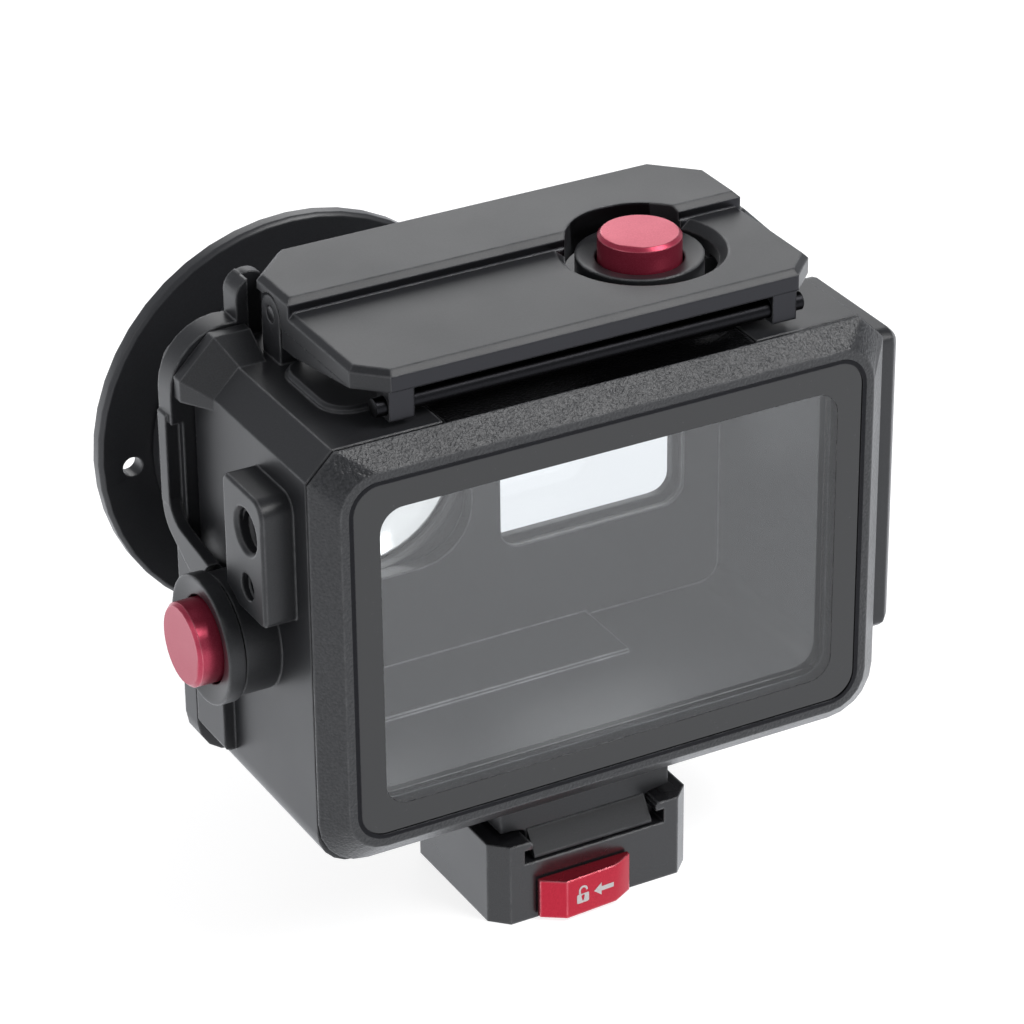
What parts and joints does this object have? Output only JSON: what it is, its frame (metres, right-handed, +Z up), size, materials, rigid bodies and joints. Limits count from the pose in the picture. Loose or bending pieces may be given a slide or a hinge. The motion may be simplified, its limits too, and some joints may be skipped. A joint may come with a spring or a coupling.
{
  "type": "action camera dive housing",
  "caption": "Aluminium dive housing for a small action camera: glazed rear door under a latch lever, push buttons, round lens port, screen window and quick-release base.",
  "frame": {"origin": "middle of the underside of the quick-release base", "axes": "+Z up, +Y forwards out of the lens port, +X to the right when seen from behind, from the rear door"},
  "size_m": [0.1009, 0.0595, 0.0916],
  "materials": {
    "black_anodised": "black anodised, satin",
    "black_blasted": "black anodised over a fine bead blast",
    "red_anodised": "red anodised, satin",
    "steel": "stainless steel",
    "rubber": "moulded",
    "glass": "clear, polished"
  },
  "bodies": {
    "base": {"quick_release_base": "black_anodised", "base_cover": "black_anodised", "release_spring": "steel"},
    "release": {"release_slider": "red_anodised", "lock_bolt": "steel"},
    "housing": {"body_shell": "black_anodised", "front_plate": "black_anodised", "plate_screw_1": "steel", "plate_screw_2": "steel", "plate_screw_3": "steel", "plate_screw_4": "steel", "screen_gasket": "rubber", "screen_glass": "glass", "screen_frame": "black_anodised", "port_barrel": "black_anodised", "spigot_seal": "rubber", "port_seal": "rubber", "port_glass": "glass", "filter_ring": "black_anodised", "shutter_boss": "black_anodised", "shutter_spring": "steel", "shutter_stem_seal": "rubber", "side_boss": "black_anodised", "side_spring": "steel", "side_stem_seal": "rubber", "accessory_rail": "black_anodised", "rail_screw_1": "steel", "rail_screw_2": "steel", "mount_foot": "black_anodised", "foot_screw_1": "steel", "foot_screw_2": "steel", "door_seal": "rubber", "door_hinge_pin": "steel", "latch_pivot_pin_left": "steel", "latch_pivot_pin_right": "steel"},
    "door": {"door_frame": "black_blasted", "rear_glass": "glass"},
    "lever": {"latch_lever": "black_anodised", "latch_cross_pin": "black_anodised"},
    "shutter": {"shutter_button": "red_anodised", "shutter_clip": "steel"},
    "side": {"side_button": "red_anodised", "side_clip": "steel"}
  },
  "joints": [
    {"name": "release_slide", "type": "slide", "parent": "base", "child": "release", "axis": [-1, 0, 0], "range_m": [0, 0.003], "stiffness_N_per_m": 300},
    {"name": "housing_slide", "type": "slide", "parent": "base", "child": "housing", "axis": [0, -1, 0], "range_m": [0, 0.022]},
    {"name": "door_hinge", "type": "hinge", "parent": "housing", "child": "door", "pos_m": [0, -0.0114, 0.0204], "axis": [1, 0, 0], "range_deg": [0, 90]},
    {"name": "lever_hinge", "type": "hinge", "parent": "housing", "child": "lever", "pos_m": [0, 0.0142, 0.0872], "axis": [-1, 0, 0], "range_deg": [0, 45]},
    {"name": "shutter_press", "type": "slide", "parent": "housing", "child": "shutter", "axis": [0, 0, -1], "range_m": [0, 0.002], "stiffness_N_per_m": 300},
    {"name": "side_press", "type": "slide", "parent": "housing", "child": "side", "axis": [1, 0, 0], "range_m": [0, 0.002], "stiffness_N_per_m": 300}
  ]
}
